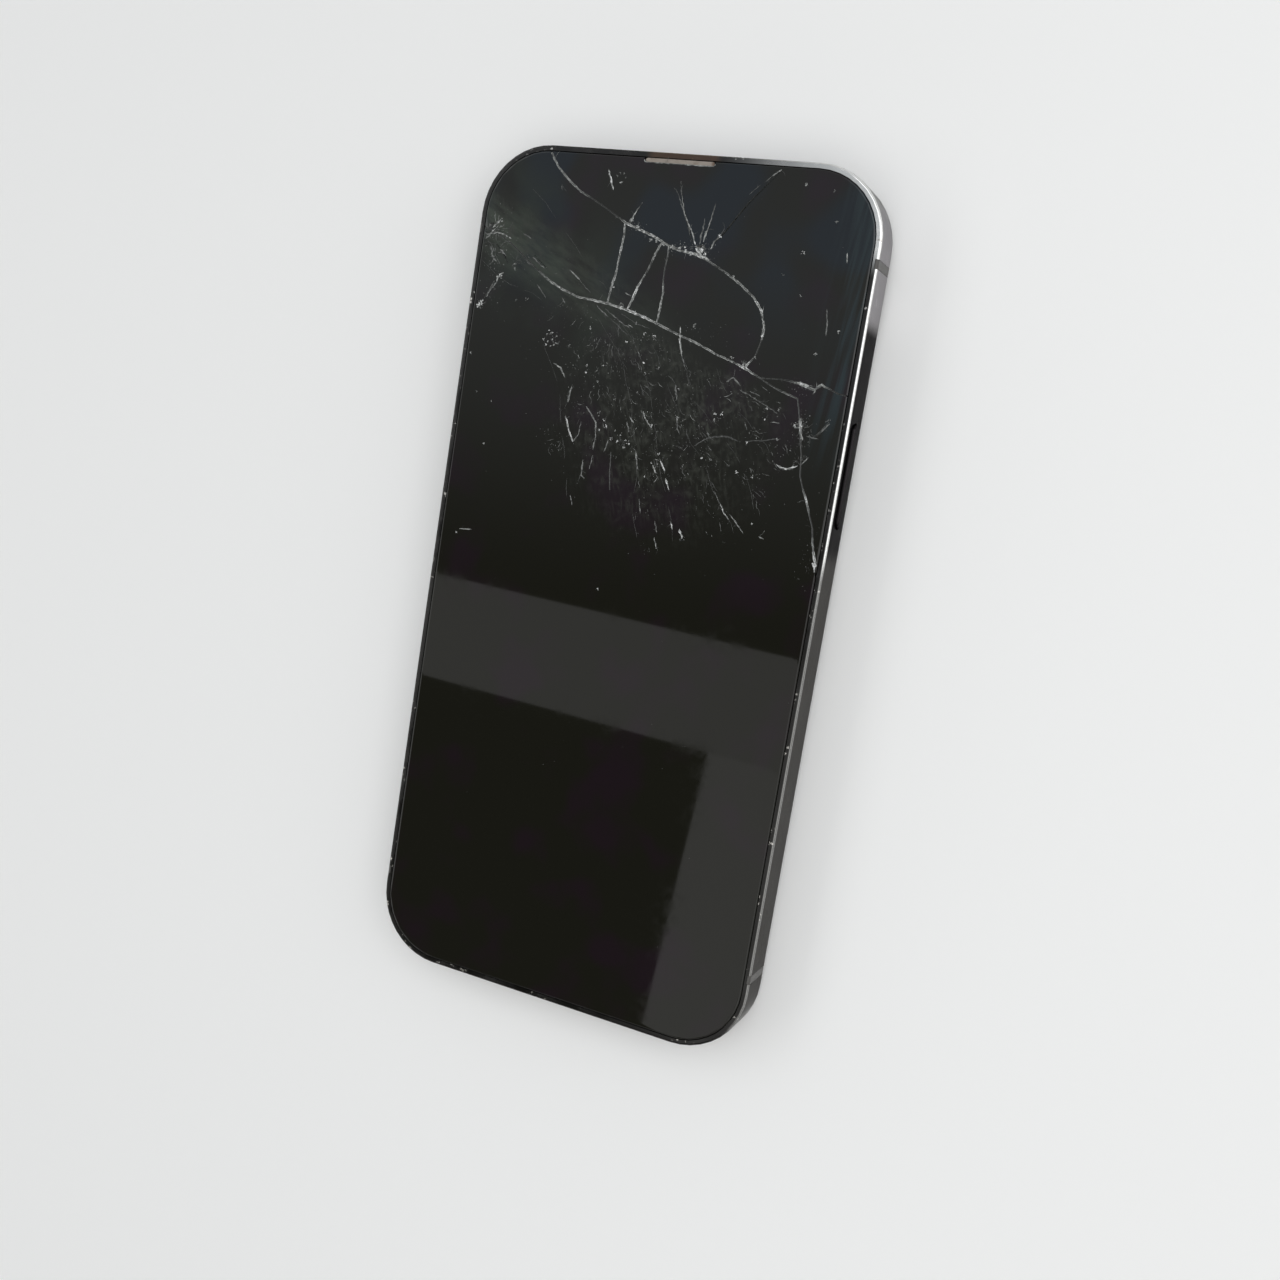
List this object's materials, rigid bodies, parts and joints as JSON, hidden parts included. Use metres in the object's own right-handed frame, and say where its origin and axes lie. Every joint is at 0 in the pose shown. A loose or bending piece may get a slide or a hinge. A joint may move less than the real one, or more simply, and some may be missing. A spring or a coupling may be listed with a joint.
{
  "type": "smartphone with shattered screen",
  "caption": "Touchscreen phone with a shattered cover glass, lying on its back, with side keys, a ring switch and a card tray that move.",
  "frame": {"origin": "under the middle of the phone, level with the rear lens rings that stand lowest", "axes": "+X to the side key, +Y to the earpiece end, +Z out of the screen"},
  "size_m": [0.0724, 0.146, 0.0091],
  "materials": {
    "polished_steel": "polished dark graphite coating",
    "antenna_plastic": "grey plastic inserts",
    "cover_glass": "glossy black, shattered",
    "rear_glass": "dark glossy glass",
    "lens_glass": "clear coated glass",
    "camera_black": "black",
    "black_plastic": "moulded black plastic",
    "panel": "display off, black",
    "seal": "soft black seal",
    "speaker_mesh": "fine woven mesh",
    "bare_steel": "bare stamped steel",
    "board": "green solder mask",
    "copper": "enamelled copper winding",
    "magnet": "plated magnets",
    "ferrite": "dark ferrite sheet",
    "battery_wrap": "black foil wrap",
    "flex": "amber polyimide ribbon",
    "flash": "pale yellow lens"
  },
  "bodies": {
    "phone_body": {"frame": "polished_steel", "camera_island": "polished_steel", "lens_ring_upper": "polished_steel", "lens_ring_lower": "polished_steel", "antenna_band_upper_left": "antenna_plastic", "antenna_band_upper_right": "antenna_plastic", "antenna_band_lower_left": "antenna_plastic", "antenna_band_lower_right": "antenna_plastic", "cover_glass_lower": "cover_glass", "cover_glass_upper": "cover_glass", "cover_glass_upper_left": "cover_glass", "cover_glass_right": "cover_glass", "glass_shard_left": "cover_glass", "glass_shard_middle": "cover_glass", "glass_shard_arc": "cover_glass", "back_glass": "rear_glass", "lens_cover_upper": "lens_glass", "lens_cover_lower": "lens_glass", "rear_camera_upper": "camera_black", "rear_camera_lower": "camera_black", "front_camera": "camera_black", "display_frame": "black_plastic", "earpiece_speaker": "black_plastic", "proximity_sensor": "black_plastic", "loudspeaker": "black_plastic", "port_tongue": "black_plastic", "volume_up_contact": "black_plastic", "volume_down_contact": "black_plastic", "side_contact": "black_plastic", "display_panel": "panel", "display_seal": "seal", "earpiece_mesh": "speaker_mesh", "sound_mesh_left": "speaker_mesh", "sound_mesh_right": "speaker_mesh", "display_backplate": "bare_steel", "shield_can_upper": "bare_steel", "shield_can_lower": "bare_steel", "board_screw_1": "bare_steel", "board_screw_2": "bare_steel", "board_screw_3": "bare_steel", "haptic_motor": "bare_steel", "port_shell": "bare_steel", "bottom_screw_left": "bare_steel", "bottom_screw_right": "bare_steel", "volume_bracket": "bare_steel", "side_bracket": "bare_steel", "sim_reader": "bare_steel", "logic_board": "board", "charging_coil": "copper", "magnet_ring": "magnet", "ferrite_disc": "ferrite", "battery": "battery_wrap", "display_flex": "flex", "port_flex": "flex", "flash_lens": "flash"},
    "volume_up_button_body": {"volume_up_button": "polished_steel"},
    "volume_down_button_body": {"volume_down_button": "polished_steel"},
    "side_button_body": {"side_button": "polished_steel"},
    "ring_switch_body": {"ring_switch": "polished_steel"},
    "sim_tray_body": {"sim_tray": "polished_steel"}
  },
  "joints": [
    {"name": "volume_up_press", "type": "slide", "parent": "phone_body", "child": "volume_up_button_body", "axis": [1, 0, 0], "range_m": [0, 0.0003], "stiffness_N_per_m": 2000, "springref_m": -0.0003},
    {"name": "volume_down_press", "type": "slide", "parent": "phone_body", "child": "volume_down_button_body", "axis": [1, 0, 0], "range_m": [0, 0.0003], "stiffness_N_per_m": 2000, "springref_m": -0.0003},
    {"name": "side_key_press", "type": "slide", "parent": "phone_body", "child": "side_button_body", "axis": [-1, 0, 0], "range_m": [0, 0.0003], "stiffness_N_per_m": 2000, "springref_m": -0.0003},
    {"name": "ring_switch_slide", "type": "slide", "parent": "phone_body", "child": "ring_switch_body", "axis": [0, 0, 1], "range_m": [0, 0.0011]},
    {"name": "sim_tray_slide", "type": "slide", "parent": "phone_body", "child": "sim_tray_body", "axis": [-1, 0, 0], "range_m": [0, 0.0175]}
  ]
}
